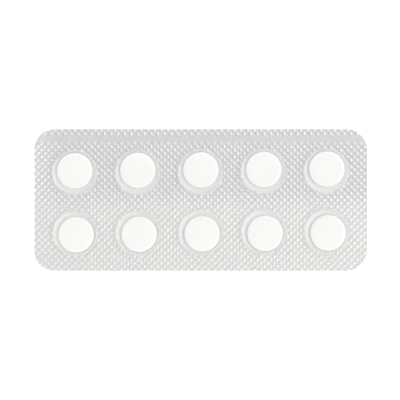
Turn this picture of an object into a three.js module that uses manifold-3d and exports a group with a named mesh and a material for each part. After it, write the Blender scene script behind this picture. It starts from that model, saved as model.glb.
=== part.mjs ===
// A blister pack of ten round tablets, lying on its foil with the cups up.
// Millimetres, +Z up. The origin is the centre of the foil's underside, X runs along
// the pack and +Y points to the long edge that has the plain band.

import * as THREE from 'three';
import { mergeVertices } from 'three/addons/utils/BufferGeometryUtils.js';
import Module from 'manifold-3d';

const wasm = await Module();
wasm.setup();

// Every round is turned with this many sides
const roundSides = 24;
const mergeDistance = 1e-5;

// Sheets
const foilThickness = 0.03;
const filmThickness = 0.25;

// Tablets: flat faces with a bevelled edge
const tabletDiameter = 10;
const tabletThickness = 3.6;
const bevelWidth = 0.85;
const bevelHeight = 0.35;

// Room of a tablet in its cup: beside it at the foot, and under the roof
const tabletPlay = 1.1;
const tabletHeadroom = 0.3;

// Cups, as the inside of the film
const cupColumns = 5;
const cupRows = 2;
const columnPitch = 17.8;
const rowPitch = 17.1;
const fieldShift = -0.6; // the rows lie this far from the middle of the width
const fieldTurn = THREE.MathUtils.degToRad(0.4); // the rows are a little out of square
const cupDraft = THREE.MathUtils.degToRad(3.5);
const roofFillet = 1.0;
const filletSteps = 2;
const footFillet = 0.3;

// Outline of the pack, from the centres of the outer cups
const endMargin = 11.4;
const sideMargin = 11.45;
const cornerRadius = 5.8;
const cornerSteps = 6;

// Each row of tablets has slid to one side of its cups, as far as this gap to the wall
const tabletSideGap = 0.25;
const topRowHeading = THREE.MathUtils.degToRad(75);
const bottomRowHeading = THREE.MathUtils.degToRad(-45);

// Knurl of the heat seal: four-sided dents in rows that cross at a right angle
const knurlPitch = 1.33;
const knurlFloor = 0.12; // film that is left under the point of a dent
const dentOverlap = 0.02; // by which a dent is wider than the pitch, so that crests are sharp
const dentRise = 0.05; // how far the solid that cuts a dent runs on above the film
const knurlCollar = 0.5; // plain ring round the foot of each cup
const bandFromEdge = 1.87; // plain band along the +Y edge
const bandWidth = 1.98;

const spaceRun = 2; // how far the solid that cuts a cup's space runs on below the film

const tabletRadius = tabletDiameter / 2;
const cupFootRadius = tabletRadius + tabletPlay;
const cupHeight = tabletThickness + tabletHeadroom;
const wallTopHeight = cupHeight - roofFillet;
const wallTopRadius = cupFootRadius - wallTopHeight * Math.tan(cupDraft);
const roofRadius = wallTopRadius - roofFillet;
const flangeTop = foilThickness + filmThickness;
const packLength = (cupColumns - 1) * columnPitch + 2 * endMargin;
const packWidth = (cupRows - 1) * rowPitch + 2 * sideMargin;

const filmLook = new THREE.MeshStandardMaterial({
  color: 0xe6e9ea,
  roughness: 0.15,
  metalness: 0,
  transparent: true,
  opacity: 0.35,
});
const foilLook = new THREE.MeshStandardMaterial({ color: 0xd8dadb, roughness: 0.4, metalness: 1 });
const tabletLook = new THREE.MeshStandardMaterial({ color: 0xf7f7f5, roughness: 0.85, metalness: 0 });

// The closed solid of a geometry whose vertices are still split by face.
function toSolid(geometry) {
  const bare = geometry.clone();
  bare.deleteAttribute('normal');
  bare.deleteAttribute('uv');
  const merged = mergeVertices(bare, mergeDistance);
  return new wasm.Manifold(
    new wasm.Mesh({
      numProp: 3,
      vertProperties: new Float32Array(merged.attributes.position.array),
      triVerts: new Uint32Array(merged.index.array),
    }),
  );
}

// A named mesh of a solid.
function toMesh(solid, look, name) {
  const { vertProperties, triVerts } = solid.getMesh();
  const geometry = new THREE.BufferGeometry();
  geometry.setAttribute('position', new THREE.BufferAttribute(vertProperties, 3));
  geometry.setIndex(new THREE.BufferAttribute(triVerts, 1));
  geometry.computeVertexNormals();
  const mesh = new THREE.Mesh(geometry, look);
  mesh.name = name;
  return mesh;
}

// A solid turned about Z from a profile of [radius, height] that starts and ends on the axis.
function turned(profile) {
  const points = profile.map(([radius, height]) => new THREE.Vector2(radius, height));
  return toSolid(new THREE.LatheGeometry(points, roundSides).rotateX(Math.PI / 2));
}

// A quarter round from its side to its top, about a centre at [radius, height].
function roundOver(centreRadius, centreHeight, radius) {
  const points = [];
  for (let step = 0; step <= filletSteps; step += 1) {
    const angle = (step / filletSteps) * (Math.PI / 2);
    const out = centreRadius + radius * Math.cos(angle);
    const up = centreHeight + radius * Math.sin(angle);
    points.push([out, up]);
  }
  return points;
}

// A rectangle with four round corners.
function packOutline() {
  const halfLength = packLength / 2;
  const halfWidth = packWidth / 2;
  const inX = halfLength - cornerRadius;
  const inY = halfWidth - cornerRadius;
  const outline = new THREE.Shape();
  outline.moveTo(-inX, -halfWidth);
  outline.lineTo(inX, -halfWidth);
  outline.absarc(inX, -inY, cornerRadius, -Math.PI / 2, 0, false);
  outline.lineTo(halfLength, inY);
  outline.absarc(inX, inY, cornerRadius, 0, Math.PI / 2, false);
  outline.lineTo(-inX, halfWidth);
  outline.absarc(-inX, inY, cornerRadius, Math.PI / 2, Math.PI, false);
  outline.lineTo(-halfLength, -inY);
  outline.absarc(-inX, -inY, cornerRadius, Math.PI, 1.5 * Math.PI, false);
  return outline;
}

// A flat sheet with the pack's outline, from one height up.
function sheet(bottom, thickness) {
  const geometry = new THREE.ExtrudeGeometry(packOutline(), {
    depth: thickness,
    bevelEnabled: false,
    curveSegments: cornerSteps,
  });
  return toSolid(geometry.translate(0, 0, bottom));
}

// Centres of the cups, row by row from the +Y side and from left to right.
function cupCentres() {
  const centres = [];
  for (let row = 0; row < cupRows; row += 1) {
    for (let column = 0; column < cupColumns; column += 1) {
      const along = (column - (cupColumns - 1) / 2) * columnPitch;
      const across = ((cupRows - 1) / 2 - row) * rowPitch;
      const centre = new THREE.Vector2(along, across);
      centre.rotateAround(new THREE.Vector2(0, 0), fieldTurn);
      centre.y += fieldShift;
      centres.push({ centre, row, column });
    }
  }
  return centres;
}

const cups = cupCentres();

// The space inside a cup, open downwards past the flange's underside.
function cupSpace() {
  return turned([
    [0, -spaceRun],
    [cupFootRadius, -spaceRun],
    [cupFootRadius, 0],
    ...roundOver(roofRadius, wallTopHeight, roofFillet),
    [0, cupHeight],
  ]);
}

// The outside of a cup: its foot flares into the film's flange.
function cupBody() {
  const footRadius = cupFootRadius + filmThickness;
  const inFlange = filmThickness / 2;
  return turned([
    [0, inFlange],
    [footRadius + footFillet, inFlange],
    [footRadius + footFillet, filmThickness],
    [footRadius, filmThickness + footFillet],
    ...roundOver(roofRadius, wallTopHeight, roofFillet + filmThickness),
    [0, cupHeight + filmThickness],
  ]);
}

// Whether a place on the flange is knurled: off the plain band and each cup's collar.
function isKnurled(x, y) {
  const fromEdge = packWidth / 2 - y;
  const inBand = fromEdge > bandFromEdge && fromEdge < bandFromEdge + bandWidth;
  const collarRadius = cupFootRadius + filmThickness + footFillet + knurlCollar;
  const onCollar = cups.some(({ centre }) => Math.hypot(x - centre.x, y - centre.y) < collarRadius);
  return !inBand && !onCollar;
}

// A dent is a four-sided point with its corners on X and Y, and widens on above the film.
function dentBody() {
  const depth = filmThickness - knurlFloor;
  const height = depth + dentRise;
  const halfDiagonal = (knurlPitch + dentOverlap) / Math.SQRT2;
  const cone = new THREE.ConeGeometry((halfDiagonal * height) / depth, height, 4);
  cone.rotateX(-Math.PI / 2);
  return toSolid(cone.translate(0, 0, flangeTop - depth + height / 2));
}

// All the dents, in rows along both diagonals. Each one has its four corners on knurled places.
function knurl() {
  const dent = dentBody();
  const step = knurlPitch / Math.SQRT2;
  const columns = Math.ceil(packLength / 2 / step);
  const rows = Math.ceil(packWidth / 2 / step);
  const dents = [];
  for (let row = -rows; row <= rows; row += 1) {
    for (let column = -columns; column <= columns; column += 1) {
      const x = column * step;
      const y = row * step;
      const onLattice = (row + column) % 2 === 0;
      const ends = [[x - step, y], [x + step, y], [x, y - step], [x, y + step]];
      if (onLattice && ends.every(([endX, endY]) => isKnurled(endX, endY))) {
        dents.push(dent.translate([x, y, 0]));
      }
    }
  }
  return wasm.Manifold.union(dents);
}

// Forming film: flange, cups and knurl, one thermoformed piece.
function blisterFilm() {
  let film = sheet(foilThickness, filmThickness).subtract(knurl());
  for (const { centre } of cups) {
    film = film.add(cupBody().translate([centre.x, centre.y, foilThickness]));
  }
  for (const { centre } of cups) {
    film = film.subtract(cupSpace().translate([centre.x, centre.y, foilThickness]));
  }
  return toMesh(film, filmLook, 'blister_film');
}

// Lidding foil: a flat sheet sealed to the flange's underside.
function liddingFoil() {
  return toMesh(sheet(0, foilThickness), foilLook, 'lidding_foil');
}

// A tablet, standing on one flat face.
function tabletBody() {
  const faceRadius = tabletRadius - bevelWidth;
  return turned([
    [0, 0],
    [faceRadius, 0],
    [tabletRadius, bevelHeight],
    [tabletRadius, tabletThickness - bevelHeight],
    [faceRadius, tabletThickness],
    [0, tabletThickness],
  ]);
}

// How far a tablet slides from the middle of its cup. Its upper shoulder is the first part
// to near the wall, which is the draft below the roof fillet and the fillet's arc above.
function tabletSlide() {
  const shoulderHeight = tabletThickness - bevelHeight;
  const intoFillet = shoulderHeight - wallTopHeight;
  const wallRadius =
    intoFillet > 0
      ? roofRadius + Math.sqrt(roofFillet ** 2 - intoFillet ** 2)
      : cupFootRadius - shoulderHeight * Math.tan(cupDraft);
  return wallRadius * Math.cos(Math.PI / roundSides) - tabletRadius - tabletSideGap;
}

// A tablet in each cup, slid towards its row's heading.
function tablets() {
  const slide = tabletSlide();
  return cups.map(({ centre, row, column }) => {
    const heading = row === 0 ? topRowHeading : bottomRowHeading;
    const side = row === 0 ? 'top' : 'bottom';
    const tablet = toMesh(tabletBody(), tabletLook, `tablet_${side}_${column + 1}`);
    const x = centre.x + slide * Math.cos(heading);
    const y = centre.y + slide * Math.sin(heading);
    tablet.position.set(x, y, foilThickness);
    return tablet;
  });
}

const pack = new THREE.Group();
pack.add(liddingFoil());
pack.add(blisterFilm());
pack.add(...tablets());

export default pack;
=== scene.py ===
"""Looks of the tablet blister pack: clear formed film, knurled foil and pressed tablets."""

import math

import bmesh
import bpy
import numpy as np
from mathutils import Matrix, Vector
from mathutils.geometry import delaunay_2d_cdt


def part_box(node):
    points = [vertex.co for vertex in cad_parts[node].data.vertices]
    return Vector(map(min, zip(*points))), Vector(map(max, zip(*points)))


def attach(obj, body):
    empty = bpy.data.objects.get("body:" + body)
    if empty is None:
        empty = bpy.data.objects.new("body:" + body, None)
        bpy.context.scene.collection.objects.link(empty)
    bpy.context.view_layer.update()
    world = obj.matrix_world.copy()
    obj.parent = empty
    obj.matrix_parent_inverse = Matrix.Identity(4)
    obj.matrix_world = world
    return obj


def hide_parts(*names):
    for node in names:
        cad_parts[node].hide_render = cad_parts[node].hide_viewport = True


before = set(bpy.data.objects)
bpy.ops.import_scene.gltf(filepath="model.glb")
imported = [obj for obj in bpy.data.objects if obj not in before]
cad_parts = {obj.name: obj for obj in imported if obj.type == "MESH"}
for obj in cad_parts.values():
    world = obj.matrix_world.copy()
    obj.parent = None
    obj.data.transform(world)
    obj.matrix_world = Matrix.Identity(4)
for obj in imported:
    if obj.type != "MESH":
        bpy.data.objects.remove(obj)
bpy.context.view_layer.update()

MM = 0.001

# Outline of the pack and the sheets, as the solids have them
PACK_LOW, PACK_HIGH = (np.array(corner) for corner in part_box("blister_film"))
HALF_LENGTH = (PACK_HIGH[0] - PACK_LOW[0]) / 2
HALF_WIDTH = (PACK_HIGH[1] - PACK_LOW[1]) / 2
CORNER_RADIUS = 5.8 * MM
FOIL_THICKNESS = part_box("lidding_foil")[1].z
FILM_THICKNESS = 0.25 * MM
FLANGE_TOP = FOIL_THICKNESS + FILM_THICKNESS
CUP_TOP = PACK_HIGH[2]

# Cups: the inside of the film, and the fillet at their outer foot
COLUMNS, ROWS = 5, 2
COLUMN_PITCH = 17.8 * MM
ROW_PITCH = 17.1 * MM
FIELD_SHIFT = -0.6 * MM
FIELD_TURN = math.radians(0.4)
CUP_FOOT_RADIUS = 6.1 * MM
CUP_DRAFT = math.radians(3.5)
ROOF_FILLET = 1.0 * MM
FOOT_FILLET = 0.3 * MM
CUP_HEIGHT = CUP_TOP - FILM_THICKNESS - FOIL_THICKNESS

# Tablets
BEVEL_WIDTH = 0.85 * MM
BEVEL_HEIGHT = 0.35 * MM
EDGE_ROUND = 0.09 * MM
TABLET_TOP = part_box("tablet_top_1")[1].z

# Knurl of the seal
KNURL_PITCH = 1.33 * MM
FILM_DENT = 0.1 * MM
FOIL_RISE = 0.2 * MM
MASK_SOFTNESS = 0.25 * MM
FOIL_COLLAR = 0.05 * MM  # the foil's points start this far outside the film's inner wall
FOIL_COLLAR_SOFTNESS = 0.5 * MM
FOIL_RAMP = 2.0 * MM  # width of the ring on which the foil climbs from under a tablet to the seal
FOIL_RAMP_START = 4.85 * MM  # its inner radius
FLOOR_SOFTNESS = 0.75 * MM  # width of the ring on which the painted light on the bare foil in the cups passes into the seal's colour
BAND_FROM_EDGE = 1.87 * MM
BAND_WIDTH = 1.98 * MM
SEAL_GAP = 0.004 * MM  # between the film's underside and the foil

# Points of the knurl, as shares of the film's dent or the foil's rise
KNURL_LEVEL = 0.35  # middle height
CROSS_SHARE = 0.22  # of the product of the two waves
ROWS_SHARE = 0.28  # of the waves' mean
FALLING_LEAD = 0.38  # weight of the falling rows in that mean on the -Y side
UPPER_LEAD = 0.24  # what the +Y side adds to that weight
EDGE_HEIGHT = 0.6  # height of the whole pattern along the -Y edge
FIELD_HEIGHT = 0.16  # what is added away from that edge
UPPER_HEIGHT = 0.24  # what is added on the +Y side
HALVES_SEAM = 4 * MM  # width over which one side passes into the other
END_FADE = (3 * MM, 4 * MM)  # start, from the -X end, and width of the fade in the lead
EDGE_FADE = (3 * MM, 6 * MM)  # the same from the -Y edge, in the height

# Fineness of the meshes
LATTICE_STEP = KNURL_PITCH / 4
BORDER_CLEARANCE = 0.55  # of a lattice step, kept free along borders
WELD_DISTANCE = 1e-7
SHARP_ANGLE = math.radians(38)  # faces that meet at more than this keep a sharp edge
CUP_SIDES = 96
TABLET_SIDES = 128
FOOT_STEPS = 4
ROUND_STEPS = 8


def cup_centres():
    """Centres of the cups: a grid of columns and rows, turned by a small angle and then shifted."""
    along = (np.arange(COLUMNS) - (COLUMNS - 1) / 2) * COLUMN_PITCH
    across = ((ROWS - 1) / 2 - np.arange(ROWS)) * ROW_PITCH
    x, y = np.meshgrid(along, across)
    cos, sin = math.cos(FIELD_TURN), math.sin(FIELD_TURN)
    turned = np.stack([x * cos - y * sin, x * sin + y * cos + FIELD_SHIFT], axis=-1)
    return turned.reshape(-1, 2)


CUPS = cup_centres()


# Heights of the sealed flange


def soft_step(value, start, width):
    """0 below start, 1 above start plus width, and a smooth cubic between them."""
    t = np.clip((value - start) / width, 0, 1)
    return t * t * (3 - 2 * t)


def triangle_wave(distance):
    """A triangle wave of the knurl's pitch: 1 at each whole pitch and -1 halfway between."""
    return 1 - 2 * np.abs(2 * np.mod(distance / KNURL_PITCH + 0.5, 1) - 1)


def knurl_points(x, y, sign):
    """A field of points on a square grid along the diagonals, about a height of 0: the product of
    two triangle waves, plus their mean. Sign 1 sets the points on the whole pitches, and sign -1
    halfway between them. On the +Y side the points are full height and the mean leans to the rows
    that fall to the right. On the -Y side they are lower, most of all along the edge, and it leans
    to the rising rows, as it does at the -X end."""
    falling = sign * triangle_wave((x + y) / math.sqrt(2))
    rising = sign * triangle_wave((x - y) / math.sqrt(2))
    upper = soft_step(y, FIELD_SHIFT - HALVES_SEAM / 2, HALVES_SEAM)
    lead = FALLING_LEAD + UPPER_LEAD * upper * soft_step(x, -HALF_LENGTH + END_FADE[0], END_FADE[1])
    inward = soft_step(y, -HALF_WIDTH + EDGE_FADE[0], EDGE_FADE[1])
    height = EDGE_HEIGHT + FIELD_HEIGHT * inward + UPPER_HEIGHT * upper
    mean = lead * falling + (1 - lead) * rising
    return height * (CROSS_SHARE * falling * rising + ROWS_SHARE * mean)


def seal_mask(x, y, collar, softness):
    """1 where the seal is knurled, 0 on the plain band and inside each cup's collar: a product of
    smooth steps, two across the band and one outwards from the collar of each cup."""
    from_edge = HALF_WIDTH - y
    in_band = soft_step(from_edge, BAND_FROM_EDGE - MASK_SOFTNESS / 2, MASK_SOFTNESS)
    past_band = soft_step(from_edge, BAND_FROM_EDGE + BAND_WIDTH - MASK_SOFTNESS / 2, MASK_SOFTNESS)
    mask = 1 - in_band * (1 - past_band)
    for cup_x, cup_y in CUPS:
        mask = mask * soft_step(np.hypot(x - cup_x, y - cup_y), collar, softness)
    return mask


def foil_ramp(x, y):
    """Height of the seal's middle above the foil under the tablets: a smooth step round each cup."""
    ramp = KNURL_LEVEL * FOIL_RISE
    for cup_x, cup_y in CUPS:
        ramp = ramp * soft_step(np.hypot(x - cup_x, y - cup_y), FOIL_RAMP_START, FOIL_RAMP)
    return ramp


def foil_points(x, y):
    """The foil's own points about a height of 0: the knurl times the seal's mask."""
    return seal_mask(x, y, CUP_FOOT_RADIUS + FOIL_COLLAR, FOIL_COLLAR_SOFTNESS) * knurl_points(x, y, -1)


def foil_rise(x, y):
    """How far the foil is pressed up: to the middle of the seal, and in points on it that lie
    between the film's dents."""
    return foil_ramp(x, y) + FOIL_RISE * foil_points(x, y)


def film_fall(x, y):
    """How far the film's upper face lies below the plain flange: in points on a square grid."""
    mask = seal_mask(x, y, CUP_FOOT_RADIUS + FILM_THICKNESS + FOOT_FILLET, MASK_SOFTNESS)
    return FILM_DENT * mask * (KNURL_LEVEL + knurl_points(x, y, 1))


def cup_painted_light(x, y):
    """Where the foil in the cups gets painted light: 1 on the bare foil inside a cup's foot and 0 on the
    seal past its collar, one minus the product of a smooth step round each cup."""
    sealed = 1.0
    for cup_x, cup_y in CUPS:
        sealed = sealed * soft_step(np.hypot(x - cup_x, y - cup_y), CUP_FOOT_RADIUS, FLOOR_SOFTNESS)
    return 1 - sealed


# Meshes


def outline_points(step):
    """Points along the pack's rounded rectangle, anticlockwise: four arcs and evenly cut sides."""
    points = []
    in_x, in_y = HALF_LENGTH - CORNER_RADIUS, HALF_WIDTH - CORNER_RADIUS
    arc_steps = max(4, round(CORNER_RADIUS * math.pi / 2 / step))
    corners = [(in_x, -in_y), (in_x, in_y), (-in_x, in_y), (-in_x, -in_y)]
    for quarter, (x, y) in enumerate(corners):
        angle = (quarter - 1 + np.linspace(0, 1, arc_steps + 1)) * math.pi / 2
        arc = np.stack([x + CORNER_RADIUS * np.cos(angle), y + CORNER_RADIUS * np.sin(angle)], axis=-1)
        next_x, next_y = corners[(quarter + 1) % 4]
        end = quarter * math.pi / 2
        start = np.array([x + CORNER_RADIUS * math.cos(end), y + CORNER_RADIUS * math.sin(end)])
        stop = start + [next_x - x, next_y - y]
        cuts = max(2, round(float(np.hypot(*(stop - start))) / step))
        side = start + (stop - start) * (np.arange(1, cuts) / cuts)[:, None]
        points += [arc, side]
    return np.concatenate(points)


def ring_points(centre, radius, sides):
    """Evenly spaced points on a circle."""
    angle = np.arange(sides) * 2 * math.pi / sides
    return np.stack([centre[0] + radius * np.cos(angle), centre[1] + radius * np.sin(angle)], axis=-1)


def inside_outline(points, inset):
    """True where a point lies in the rounded rectangle, moved in by the inset."""
    radius = CORNER_RADIUS - inset
    far_x = np.maximum(np.abs(points[:, 0]) - (HALF_LENGTH - CORNER_RADIUS), 0)
    far_y = np.maximum(np.abs(points[:, 1]) - (HALF_WIDTH - CORNER_RADIUS), 0)
    return np.hypot(far_x, far_y) < radius


def flat_triangles(step, hole_radius=None):
    """Triangles of the pack's outline, on a square lattice along the diagonals, whose lines meet
    the knurl's crests: x and y are the sum and difference of two diagonal steps, over root two.
    With a hole radius, a round hole is left at each cup. Returns the places, the triangles, and
    the loops of the border: the outline first and then each hole, as lists of indices."""
    loops = [outline_points(step)]
    if hole_radius:
        loops += [ring_points(centre, hole_radius, CUP_SIDES) for centre in CUPS]
    count = math.ceil((HALF_LENGTH + HALF_WIDTH) / math.sqrt(2) / step)
    along, across = np.meshgrid(*[np.arange(-count, count + 1) * step] * 2)
    lattice = np.stack([along + across, along - across], axis=-1).reshape(-1, 2) / math.sqrt(2)
    keep = inside_outline(lattice, BORDER_CLEARANCE * step)
    if hole_radius:
        for centre in CUPS:
            keep &= np.hypot(*(lattice - centre).T) > hole_radius + BORDER_CLEARANCE * step
    places = np.concatenate(loops + [lattice[keep]])
    edges = []
    starts = np.cumsum([0] + [len(loop) for loop in loops])
    spans = [np.arange(starts[i], starts[i + 1]) for i in range(len(loops))]
    for span in spans:
        edges += np.stack([span, np.roll(span, -1)], axis=-1).tolist()
    found = delaunay_2d_cdt([Vector(p) for p in places.tolist()], edges, [], 1, 1e-9)
    flat = np.array([tuple(p) for p in found[0]])
    triangles = np.array(found[2], dtype=np.int64)
    middle = flat[triangles].mean(axis=1)
    wanted = inside_outline(middle, 0)
    if hole_radius:
        for centre in CUPS:
            wanted &= np.hypot(*(middle - centre).T) > hole_radius * math.cos(math.pi / CUP_SIDES)
    new_index = np.zeros(len(places), dtype=np.int64)
    for new, sources in enumerate(found[3]):
        new_index[sources] = new
    a, b, c = (flat[triangles[:, i]] for i in range(3))
    turn = (b[:, 0] - a[:, 0]) * (c[:, 1] - a[:, 1]) - (b[:, 1] - a[:, 1]) * (c[:, 0] - a[:, 0])
    triangles[turn < 0] = triangles[turn < 0][:, ::-1]
    return flat, triangles[wanted], [new_index[span] for span in spans]


def turned_grid(profile, centre, sides):
    """Places of a profile of [radius, height] turned about an upright axis, ring by ring."""
    profile = np.asarray(profile)
    angle = np.arange(sides) * 2 * math.pi / sides
    x = centre[0] + profile[:, :1] * np.cos(angle)
    y = centre[1] + profile[:, :1] * np.sin(angle)
    z = np.repeat(profile[:, 1:], sides, axis=1)
    return np.stack([x, y, z], axis=-1).reshape(-1, 3)


def ring_quads(rings, sides):
    """Quads between neighbouring rings of a turned grid, facing out where the profile rises."""
    ring, side = np.meshgrid(np.arange(rings - 1), np.arange(sides), indexing="ij")
    here = ring * sides + side
    beside = ring * sides + (side + 1) % sides
    return np.stack([here, beside, beside + sides, here + sides], axis=-1).reshape(-1, 4)


def quarter_round(centre_radius, centre_height, radius, steps):
    """A quarter circle from its side to its top: the centre plus radius times cosine and sine."""
    angle = np.linspace(0, math.pi / 2, steps + 1)
    out = centre_radius + radius * np.cos(angle)
    up = centre_height + radius * np.sin(angle)
    return np.stack([out, up], axis=-1)


def make_object(name, parts, material, node):
    """One object from several lists of places and faces, welded where they meet."""
    places = np.concatenate([part[0] for part in parts])
    faces = []
    start = 0
    for part_places, part_faces in parts:
        faces += (part_faces + start).tolist()
        start += len(part_places)
    mesh = bpy.data.meshes.new(name)
    mesh.from_pydata(places.tolist(), [], faces)
    shape = bmesh.new()
    shape.from_mesh(mesh)
    bmesh.ops.remove_doubles(shape, verts=shape.verts, dist=WELD_DISTANCE)
    bmesh.ops.recalc_face_normals(shape, faces=shape.faces)
    shape.to_mesh(mesh)
    shape.free()
    mesh.polygons.foreach_set("use_smooth", np.ones(len(mesh.polygons), dtype=bool))
    mesh.set_sharp_from_angle(angle=SHARP_ANGLE)
    mesh.materials.append(material)
    piece = bpy.data.objects.new(name, mesh)
    bpy.context.scene.collection.objects.link(piece)
    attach(piece, "root")
    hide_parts(node)
    return piece


# Shader nodes


class Wire:
    """An output in a node tree. On a number, the usual operators add Math nodes."""

    def __init__(self, tree, socket):
        self.tree = tree
        self.socket = socket

    def _maths(self, operation, *values):
        return self.tree.node("ShaderNodeMath", {"operation": operation}, dict(enumerate(values)))

    def __add__(self, other):
        return self._maths("ADD", self, other)

    def __rsub__(self, other):
        return self._maths("SUBTRACT", other, self)

    def __mul__(self, other):
        return self._maths("MULTIPLY", self, other)

    def __pow__(self, other):
        return self._maths("POWER", self, other)

    __radd__ = __add__


class Finish:
    """The nodes of a material or a world under construction."""

    def __init__(self, owner):
        owner.use_nodes = True
        self.owner = owner
        self.nodes = owner.node_tree.nodes
        self.links = owner.node_tree.links
        self.nodes.clear()

    def node(self, kind, settings=None, inputs=None, output=0):
        """Adds a node: first its settings, then the values or links of its sockets."""
        made = self.nodes.new(kind)
        for key, value in (settings or {}).items():
            setattr(made, key, value)
        for key, value in (inputs or {}).items():
            if isinstance(value, Wire):
                self.links.new(value.socket, made.inputs[key])
            else:
                made.inputs[key].default_value = value
        return Wire(self, made.outputs[output]) if made.outputs else None

    def surface(self, shader, output="ShaderNodeOutputMaterial"):
        """Takes a shader as the surface and returns the finished material or world."""
        self.node(output, inputs={"Surface": shader})
        return self.owner


def new_finish(name):
    """A new material's nodes."""
    return Finish(bpy.data.materials.new(name))


def grey(level):
    """A colour of an even level."""
    return (level, level, level, 1)


# Colours of the foil, with painted shade on its +Y side, painted light in the cups and a painted sheen on
# the knurl's points
FOIL_LOWER = (0.646, 0.645, 0.634, 1)  # on the -Y side
FOIL_UPPER_SHADED = (0.571, 0.578, 0.576, 1)  # on the +Y side: painted shade, darker and cooler than the -Y side
FOIL_BARE_LIT = (0.728, 0.729, 0.719, 1)  # in the cups: painted light, lighter than the seal around them
SHADE_SEAM = (-4 * MM, 4 * MM)  # where the lower colour passes into the upper one's painted shade
END_SHADE = 0.2  # share of the upper side's painted shade that is left at the -X end
END_SHADE_SPAN = (-46 * MM, -39 * MM)  # where it comes back in full
POINT_PAINTED_SHEEN = 0.26  # how much lighter the foil is painted on its points than between them: a painted sheen


def foil_finish():
    """Rolled aluminium: metal with fine lines along the strip and soft cloudy patches. Painted shade makes
    it darker and cooler on the +Y side. It is bare in the cups, where painted light makes it lighter, and
    a painted sheen makes it lighter on the knurl's points."""
    mat = new_finish("rolled_foil")
    place = mat.node("ShaderNodeTexCoord", output="Object")
    along = mat.node("ShaderNodeMapping", inputs={"Vector": place, "Scale": (60, 4000, 60)})
    lines = mat.node("ShaderNodeTexNoise", inputs={"Vector": along, "Scale": 1.0, "Detail": 3.0})
    clouds = mat.node("ShaderNodeTexNoise", inputs={"Vector": place, "Scale": 90.0, "Detail": 2.0})
    # Painted shade: the foil is darker and cooler on the +Y side, and less so towards the -X end.
    across = mat.node("ShaderNodeSeparateXYZ", inputs={"Vector": place}, output="Y")
    upper = mat.node(
        "ShaderNodeMapRange",
        {"interpolation_type": "SMOOTHSTEP"},
        {"Value": across, "From Min": SHADE_SEAM[0], "From Max": SHADE_SEAM[1]},
    )
    lengthwise = mat.node("ShaderNodeSeparateXYZ", inputs={"Vector": place}, output="X")
    shade_past_end = mat.node(
        "ShaderNodeMapRange",
        {"interpolation_type": "SMOOTHSTEP"},
        {
            "Value": lengthwise,
            "From Min": END_SHADE_SPAN[0],
            "From Max": END_SHADE_SPAN[1],
            "To Min": END_SHADE,
        },
    )
    colour = mat.node(
        "ShaderNodeMix",
        {"data_type": "RGBA"},
        {"Factor": upper * shade_past_end, "A": FOIL_LOWER, "B": FOIL_UPPER_SHADED},
        output="Result",
    )
    # Painted light: the bare foil in the cups is lighter, standing in for light that the cup walls scatter
    # onto it.
    bare_lit = mat.node("ShaderNodeAttribute", {"attribute_name": "cup_painted_light"}, output="Fac")
    colour = mat.node(
        "ShaderNodeMix",
        {"data_type": "RGBA"},
        {"Factor": bare_lit, "A": colour, "B": FOIL_BARE_LIT},
        output="Result",
    )
    # Painted sheen: the foil is lighter on the knurl's points than between them.
    points = mat.node("ShaderNodeAttribute", {"attribute_name": "points"}, output="Fac")
    colour = mat.node(
        "ShaderNodeMix",
        {"data_type": "RGBA", "blend_type": "MULTIPLY"},
        {"Factor": 1.0, "A": colour, "B": 1 + points * POINT_PAINTED_SHEEN},
        output="Result",
    )
    bump = mat.node("ShaderNodeBump", inputs={"Strength": 0.25, "Distance": 0.02 * MM, "Height": lines})
    shader = mat.node(
        "ShaderNodeBsdfPrincipled",
        inputs={
            "Base Color": colour,
            "Metallic": 1.0,
            "Roughness": 0.24 + lines * 0.08 + clouds * 0.06,
            "Normal": bump,
        },
    )
    return mat.surface(shader)


# A clear film reflects in full but shows little colour of its own. The mix scales both, so the
# index is set higher than the plastic's 1.53 to bring the reflection back up.
FILM_VEIL = 0.07
FILM_INDEX = 1.9


def film_finish():
    """Clear film: see-through, with a gloss that grows towards its edges and faint waviness."""
    mat = new_finish("clear_film")
    place = mat.node("ShaderNodeTexCoord", output="Object")
    waves = mat.node("ShaderNodeTexNoise", inputs={"Vector": place, "Scale": 420.0, "Detail": 2.0})
    bump = mat.node("ShaderNodeBump", inputs={"Strength": 0.15, "Distance": 0.05 * MM, "Height": waves})
    clear = mat.node("ShaderNodeBsdfTransparent", inputs={"Color": (0.996, 0.996, 0.996, 1)})
    gloss = mat.node(
        "ShaderNodeBsdfPrincipled",
        inputs={
            "Base Color": (0.96, 0.96, 0.96, 1),
            "Roughness": 0.06 + waves * 0.06,
            "IOR": FILM_INDEX,
            "Normal": bump,
        },
    )
    edge = mat.node("ShaderNodeLayerWeight", inputs={"Blend": 0.28}, output="Facing")
    inside = mat.node("ShaderNodeNewGeometry", output="Backfacing")
    shown = (1 - inside) * (FILM_VEIL + edge**2)
    shader = mat.node("ShaderNodeMixShader", inputs={0: shown, 1: clear, 2: gloss})
    return mat.surface(shader)


# Colours of the tablets
FACE_DARK = (0.915, 0.912, 0.895, 1)
FACE_LIGHT = (0.952, 0.949, 0.933, 1)
# A painted highlight: the bevels are lighter than the face.
BEVEL_HIGHLIGHT = (0.985, 0.983, 0.972, 1)
BEVEL_HIGHLIGHT_SPAN = (0.02 * MM, 0.12 * MM)  # depths below the top face between which the painted highlight comes in


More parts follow.
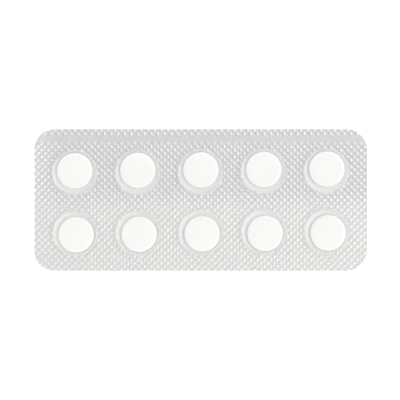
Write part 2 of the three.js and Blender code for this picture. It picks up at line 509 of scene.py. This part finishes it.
def tablet_finish():
    """Pressed powder: matt white with a fine grain, and a painted highlight that makes it lighter below
    the edge of its top face.
    """
    mat = new_finish("pressed_powder")
    place = mat.node("ShaderNodeTexCoord", output="Object")
    grain = mat.node("ShaderNodeTexNoise", inputs={"Vector": place, "Scale": 5200.0, "Detail": 3.0})
    clouds = mat.node("ShaderNodeTexNoise", inputs={"Vector": place, "Scale": 300.0, "Detail": 2.0})
    face = mat.node(
        "ShaderNodeMix",
        {"data_type": "RGBA"},
        {"Factor": grain * 0.6 + clouds * 0.4, "A": FACE_DARK, "B": FACE_LIGHT},
        output="Result",
    )
    height = mat.node("ShaderNodeSeparateXYZ", inputs={"Vector": place}, output="Z")
    # Painted highlight on the bevel, below the edge of the top face.
    bevel_highlight = mat.node(
        "ShaderNodeMapRange",
        {"interpolation_type": "SMOOTHSTEP"},
        {"Value": height, "From Min": TABLET_TOP - BEVEL_HIGHLIGHT_SPAN[0], "From Max": TABLET_TOP - BEVEL_HIGHLIGHT_SPAN[1]},
    )
    colour = mat.node(
        "ShaderNodeMix",
        {"data_type": "RGBA"},
        {"Factor": bevel_highlight, "A": face, "B": BEVEL_HIGHLIGHT},
        output="Result",
    )
    bump = mat.node("ShaderNodeBump", inputs={"Strength": 0.35, "Distance": 0.03 * MM, "Height": grain})
    shader = mat.node(
        "ShaderNodeBsdfPrincipled",
        inputs={
            "Base Color": colour,
            "Roughness": 0.78 + grain * 0.15,
            "Normal": bump,
        },
    )
    return mat.surface(shader)


# Pieces


def sheet_parts(upper, lower, hole_radius=None, low_hole_radius=None):
    """Upper and lower faces of a sheet, each a height over the same outline, with its edge wall."""
    flat, triangles, loops = flat_triangles(LATTICE_STEP, hole_radius)
    top = np.column_stack([flat, upper(flat[:, 0], flat[:, 1])])
    if low_hole_radius:
        low_flat, low_triangles, low_loops = flat_triangles(LATTICE_STEP, low_hole_radius)
    else:
        low_flat, low_triangles, low_loops = flat, triangles, loops
    bottom = np.column_stack([low_flat, lower(low_flat[:, 0], low_flat[:, 1])])
    count = len(loops[0])
    wall = np.concatenate([bottom[low_loops[0]], top[loops[0]]])
    return [
        (top, triangles),
        (bottom, low_triangles[:, ::-1]),
        (wall, ring_quads(2, count)),
    ]


def make_foil():
    """The lidding foil: a thin sheet, pressed up into the film in the knurl's points."""
    parts = sheet_parts(lambda x, y: FOIL_THICKNESS + foil_rise(x, y), foil_rise)
    foil = make_object("knurled_foil", parts, foil_finish(), "lidding_foil")
    places = np.empty(len(foil.data.vertices) * 3)
    foil.data.vertices.foreach_get("co", places)
    x, y, _ = places.reshape(-1, 3).T
    # These attributes carry the painted light on the foil in the cups and the painted sheen on the knurl's
    # points.
    for attribute, values in (("cup_painted_light", cup_painted_light(x, y)), ("points", foil_points(x, y))):
        foil.data.attributes.new(attribute, "FLOAT", "POINT").data.foreach_set("value", values)


def cup_profiles():
    """Outer and inner profiles of a cup, from its foot to the middle of its roof: a hollow quarter
    circle at the outer foot, a straight wall, a quarter circle, and a flat roof in four steps."""
    wall_height = CUP_HEIGHT - ROOF_FILLET
    wall_radius = CUP_FOOT_RADIUS - wall_height * math.tan(CUP_DRAFT)
    roof_radius = wall_radius - ROOF_FILLET
    outer_foot = CUP_FOOT_RADIUS + FILM_THICKNESS
    angle = np.linspace(0, math.pi / 2, FOOT_STEPS + 1)
    foot = np.stack(
        [
            outer_foot + FOOT_FILLET * (1 - np.sin(angle)),
            FLANGE_TOP + FOOT_FILLET * (1 - np.cos(angle)),
        ],
        axis=-1,
    )
    base = FOIL_THICKNESS
    outer_round = quarter_round(roof_radius, base + wall_height, ROOF_FILLET + FILM_THICKNESS, ROUND_STEPS)
    inner_round = quarter_round(roof_radius, base + wall_height, ROOF_FILLET, ROUND_STEPS)
    inwards = np.array([[0.75, 1], [0.5, 1], [0.25, 1], [0.0, 1]])
    outer_roof = outer_round[-1] * inwards
    inner_roof = inner_round[-1] * inwards
    foot_x, foot_y = CUPS[0] + np.array([CUP_FOOT_RADIUS, 0])
    low = np.array([[CUP_FOOT_RADIUS, base + SEAL_GAP + float(foil_rise(foot_x, foot_y))]])
    return (
        np.concatenate([foot, outer_round, outer_roof]),
        np.concatenate([low, inner_round, inner_roof]),
    )


def make_film():
    """The forming film: a flange with a knurled upper face and ten cups, one closed skin."""
    outer, inner = cup_profiles()
    hole = CUP_FOOT_RADIUS + FILM_THICKNESS + FOOT_FILLET
    parts = sheet_parts(
        lambda x, y: FLANGE_TOP - film_fall(x, y),
        lambda x, y: FOIL_THICKNESS + SEAL_GAP + foil_rise(x, y),
        hole,
        CUP_FOOT_RADIUS,
    )
    for centre in CUPS:
        parts.append((turned_grid(outer, centre, CUP_SIDES), ring_quads(len(outer), CUP_SIDES)))
        parts.append((turned_grid(inner, centre, CUP_SIDES), ring_quads(len(inner), CUP_SIDES)[:, ::-1]))
    make_object("formed_film", parts, film_finish(), "blister_film")


def tablet_profile(radius, low, high):
    """Profile of a flat tablet with bevelled edges. Each corner between two faces is a short
    curve: the corner, plus the way back times one minus t squared, plus the way on times t squared."""
    face = radius - BEVEL_WIDTH
    corners = np.array(
        [
            [0, low],
            [face, low],
            [radius, low + BEVEL_HEIGHT],
            [radius, high - BEVEL_HEIGHT],
            [face, high],
            [0, high],
        ]
    )
    points = [corners[:1]]
    for before, corner, after in zip(corners, corners[1:], corners[2:]):
        back = (before - corner) / np.hypot(*(before - corner))
        on = (after - corner) / np.hypot(*(after - corner))
        t = np.linspace(0, 1, 4)[:, None]
        points.append(corner + EDGE_ROUND * (back * (1 - t) ** 2 + on * t**2))
    points.append(corners[-1:])
    return np.concatenate(points)


def make_tablet(node, material):
    """A tablet turned from its profile, where the solid's box says it lies."""
    low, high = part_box(node)
    centre = ((low.x + high.x) / 2, (low.y + high.y) / 2)
    radius = (high.y - low.y) / 2
    profile = tablet_profile(radius, low.z, high.z)
    part = (turned_grid(profile, centre, TABLET_SIDES), ring_quads(len(profile), TABLET_SIDES))
    make_object(node.replace("tablet_", "pressed_tablet_"), [part], material, node)


make_foil()
make_film()
powder = tablet_finish()
for node_name in sorted(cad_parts):
    if node_name.startswith("tablet_"):
        make_tablet(node_name, powder)


# Floor, light and camera

FRAME_WIDTH = 113.1 * MM  # what the square picture takes in at the foil
LENS = 1000.0
SENSOR = 36.0
CAMERA_HEIGHT = FRAME_WIDTH * LENS / SENSOR
VIEW_CENTRE = (-0.15 * MM, 0.0)
FLOOR_DROP = 0.02 * MM  # the floor lies this far below the foil
WORLD_LEVEL = 0.885
LAMP_LEVEL = 1.3
LAMP_PLACE = (2.88, -0.3, 5.4)
LAMP_SIZE = 4.5
FLOOR_REACH = 1.5
FLOOR_GLOW = 0.3


def make_floor():
    """A pale floor that takes the pack's shadow, a little lighter to the camera."""
    mesh = bpy.data.meshes.new("floor")
    sides = [-FLOOR_REACH, FLOOR_REACH]
    corners = [(x, y, 0) for x in sides for y in sides]
    mesh.from_pydata(corners, [], [(0, 2, 3, 1)])
    mat = new_finish("pale_floor")
    camera_ray = mat.node("ShaderNodeLightPath", output="Is Camera Ray")
    matt = mat.node("ShaderNodeBsdfDiffuse", inputs={"Color": grey(0.85)})
    strength = camera_ray * FLOOR_GLOW
    glow = mat.node("ShaderNodeEmission", inputs={"Color": grey(1.0), "Strength": strength})
    mesh.materials.append(mat.surface(mat.node("ShaderNodeAddShader", inputs={0: matt, 1: glow})))
    floor = bpy.data.objects.new("floor", mesh)
    floor.location.z = -FLOOR_DROP
    bpy.context.scene.collection.objects.link(floor)


def make_world():
    """Even soft light from all round, and white where the camera sees it, also in metal or film."""
    sky = Finish(bpy.data.worlds.new("studio"))
    seen = sky.node("ShaderNodeLightPath", output="Is Camera Ray")
    mirrored = sky.node("ShaderNodeLightPath", output="Is Glossy Ray")
    refracted = sky.node("ShaderNodeLightPath", output="Is Transmission Ray")
    level = sky.node(
        "ShaderNodeMapRange",
        inputs={"Value": seen + (mirrored + refracted), "To Min": WORLD_LEVEL, "To Max": 1.0},
    )
    light = sky.node("ShaderNodeBackground", inputs={"Color": grey(1.0), "Strength": level})
    bpy.context.scene.world = sky.surface(light, "ShaderNodeOutputWorld")


def make_lamp(name, place, size, radiance):
    """A square lamp that looks at the pack's middle. Its power is radiance times area times pi."""
    data = bpy.data.lights.new(name, "AREA")
    data.size = size
    data.energy = radiance * size * size * math.pi
    lamp = bpy.data.objects.new(name, data)
    lamp.location = place
    lamp.rotation_euler = (-Vector(place)).to_track_quat("-Z", "Y").to_euler()
    bpy.context.scene.collection.objects.link(lamp)


def make_camera():
    """A long lens straight above the pack, with +Y up in the picture."""
    data = bpy.data.cameras.new("camera")
    data.lens = LENS
    data.sensor_width = SENSOR
    camera = bpy.data.objects.new("camera", data)
    camera.location = (VIEW_CENTRE[0], VIEW_CENTRE[1], CAMERA_HEIGHT)
    bpy.context.scene.collection.objects.link(camera)
    bpy.context.scene.camera = camera


make_floor()
make_world()
make_lamp("right_softbox", LAMP_PLACE, LAMP_SIZE, LAMP_LEVEL)
make_camera()
bpy.context.scene.view_settings.view_transform = "Standard"
